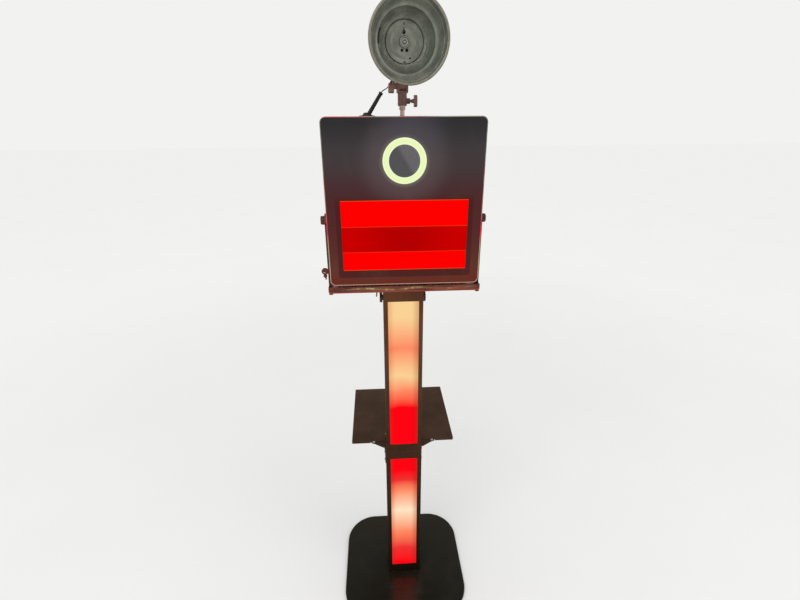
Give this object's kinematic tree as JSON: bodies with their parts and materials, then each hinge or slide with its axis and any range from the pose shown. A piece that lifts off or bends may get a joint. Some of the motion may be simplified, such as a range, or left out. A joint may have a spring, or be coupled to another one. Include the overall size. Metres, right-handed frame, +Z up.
{
  "type": "photo booth",
  "caption": "Free-standing photo booth: tilting touch-screen head with ring light and camera, studio flash, lit column, printer shelf, round-cornered floor plate.",
  "frame": {"origin": "centre of the underside of the base, on the floor, midway between the column's sides and its front and back", "axes": "+X to the right of a person facing the screen, the front faces -Y, +Z up"},
  "size_m": [0.482, 0.5825, 1.9961],
  "materials": {
    "black_steel": "satin powder coat, dark warm brown-black",
    "base_steel": "glossy powder coat",
    "bright_trim": "polished",
    "panel_black": "gloss black",
    "clear_glass": "clear, polished",
    "display": "lit display",
    "opal_panel": "opal, lit from behind",
    "opal_ring": "opal, lit from behind",
    "circuit_board": "white solder mask",
    "steel_screw": "zinc plated",
    "black_screw": "blackened",
    "rubber_black": "matt",
    "black_plastic": "fine texture",
    "guide_plastic": "natural",
    "grey_box": "satin",
    "knob_plastic": "satin",
    "stud_steel": "polished",
    "zinc_sheet": "zinc plated",
    "key_steel": "nickel plated, in shade",
    "bracket_metal": "satin",
    "flash_body": "fine texture",
    "reflector_metal": "hammered, anodised",
    "face_plate": "satin",
    "tube_glass": "frosted",
    "lamp_glass": "frosted",
    "camera_black": "leatherette",
    "lens_black": "satin with coated glass"
  },
  "bodies": {
    "stand": {"base_pad": "rubber_black", "base_plate": "base_steel", "base_screws": "steel_screw", "lower_column": "black_steel", "upper_column": "black_steel", "lower_back_cover": "black_steel", "upper_back_cover": "black_steel", "cover_screws": "black_screw", "module_bolts": "steel_screw", "lower_diffuser": "opal_panel", "upper_diffuser": "opal_panel", "led_boards": "circuit_board", "power_supply": "grey_box", "led_controller": "black_plastic", "power_inlet": "black_plastic", "shelf_bracket_left": "black_steel", "shelf_bracket_right": "black_steel", "shelf_plate": "black_steel", "shelf_screws": "steel_screw", "mast_guide": "guide_plastic"},
    "switch_rocker": {"power_switch": "black_plastic"},
    "clamp_left": {"clamp_knob_left": "knob_plastic"},
    "clamp_right": {"clamp_knob_right": "knob_plastic"},
    "yoke_mast": {"mast_tube": "zinc_sheet", "yoke": "black_steel", "yoke_screws": "steel_screw", "friction_washers": "rubber_black"},
    "tilt_clamp_left": {"tilt_knob_left": "knob_plastic"},
    "tilt_clamp_right": {"tilt_knob_right": "knob_plastic"},
    "head": {"front_frame": "black_steel", "panel_trim": "bright_trim", "front_panel": "panel_black", "touch_glass": "clear_glass", "display_panel": "display", "inner_chassis": "zinc_sheet", "ring_diffuser": "opal_ring", "ring_led_board": "circuit_board", "lens_window": "clear_glass", "camera_body": "camera_black", "camera_lens": "lens_black", "mini_pc": "black_plastic", "flash_stud": "stud_steel", "cable_gland": "rubber_black", "hinge_frame_leaf": "black_steel", "lock_barrel": "key_steel", "lead_lower": "rubber_black"},
    "hood": {"rear_hood": "black_steel"},
    "lock_key": {"key": "key_steel", "lock_cam": "key_steel"},
    "key_on_ring": {"spare_key": "key_steel"},
    "flash_mount": {"flash_bracket": "bracket_metal", "lead_upper": "rubber_black"},
    "mount_knob": {"bracket_knob": "bracket_metal"},
    "flash": {"flash_housing": "flash_body", "reflector": "reflector_metal", "flash_face": "face_plate", "flash_tube": "tube_glass", "modelling_lamp": "lamp_glass"},
    "tilt_clamp_lever": {"tilt_lever": "bracket_metal"},
    "power_dial": {"flash_dial": "black_plastic"}
  },
  "joints": [
    {"name": "power_switch", "type": "hinge", "parent": "stand", "child": "switch_rocker", "pos_m": [0.018, 0.049, 0.09], "axis": [-1, 0, 0], "range_deg": [0, 16]},
    {"name": "clamp_left_turn", "type": "hinge", "parent": "stand", "child": "clamp_left", "pos_m": [-0.0625, 0, 1.212], "axis": [-1, 0, 0], "range_deg": [0, 360]},
    {"name": "clamp_right_turn", "type": "hinge", "parent": "stand", "child": "clamp_right", "pos_m": [0.0625, 0, 1.212], "axis": [1, 0, 0], "range_deg": [0, 360]},
    {"name": "head_lift", "type": "slide", "parent": "stand", "child": "yoke_mast", "axis": [0, 0, 1], "range_m": [0, 0.1]},
    {"name": "head_tilt", "type": "hinge", "parent": "yoke_mast", "child": "head", "pos_m": [0, -0.071, 1.475], "axis": [1, 0, 0], "range_deg": [-4, 20]},
    {"name": "tilt_knob_left_turn", "type": "hinge", "parent": "head", "child": "tilt_clamp_left", "pos_m": [-0.2198, -0.071, 1.475], "axis": [-1, 0, 0], "range_deg": [0, 360]},
    {"name": "tilt_knob_right_turn", "type": "hinge", "parent": "head", "child": "tilt_clamp_right", "pos_m": [0.2198, -0.071, 1.475], "axis": [1, 0, 0], "range_deg": [0, 360]},
    {"name": "hood_hinge", "type": "hinge", "parent": "head", "child": "hood", "pos_m": [0.2137, -0.0128, 1.518], "axis": [0, 0, -1], "range_deg": [0, 110]},
    {"name": "lock_turn", "type": "hinge", "parent": "head", "child": "lock_key", "pos_m": [-0.2115, -0.038, 1.315], "axis": [1, 0, 0], "range_deg": [0, 90]},
    {"name": "spare_key_swing", "type": "hinge", "parent": "lock_key", "child": "key_on_ring", "pos_m": [-0.236, -0.038, 1.3121], "axis": [0, 1, 0], "range_deg": [-5, 25]},
    {"name": "flash_pan", "type": "hinge", "parent": "head", "child": "flash_mount", "pos_m": [-0.001, -0.04, 1.78], "axis": [0, 0, 1], "range_deg": [-45, 45], "deforming": ["lead_lower", "lead_upper"]},
    {"name": "mount_knob_turn", "type": "hinge", "parent": "flash_mount", "child": "mount_knob", "pos_m": [0.01889, -0.03791, 1.7775], "axis": [0.9945, 0.1045, 0], "range_deg": [0, 360]},
    {"name": "flash_tilt", "type": "hinge", "parent": "flash_mount", "child": "flash", "pos_m": [-0.001, -0.04, 1.812], "axis": [0.9945, 0.1045, 0], "range_deg": [-40, 30], "deforming": ["lead_upper"]},
    {"name": "tilt_lever_turn", "type": "hinge", "parent": "flash_mount", "child": "tilt_clamp_lever", "pos_m": [-0.02089, -0.04209, 1.812], "axis": [-0.9945, -0.1045, 0], "range_deg": [0, 120]},
    {"name": "flash_power_dial", "type": "hinge", "parent": "flash", "child": "power_dial", "pos_m": [-0.00897, 0.03584, 1.9256], "axis": [-0.1043, 0.9921, 0.0698], "range_deg": [0, 270]}
  ]
}
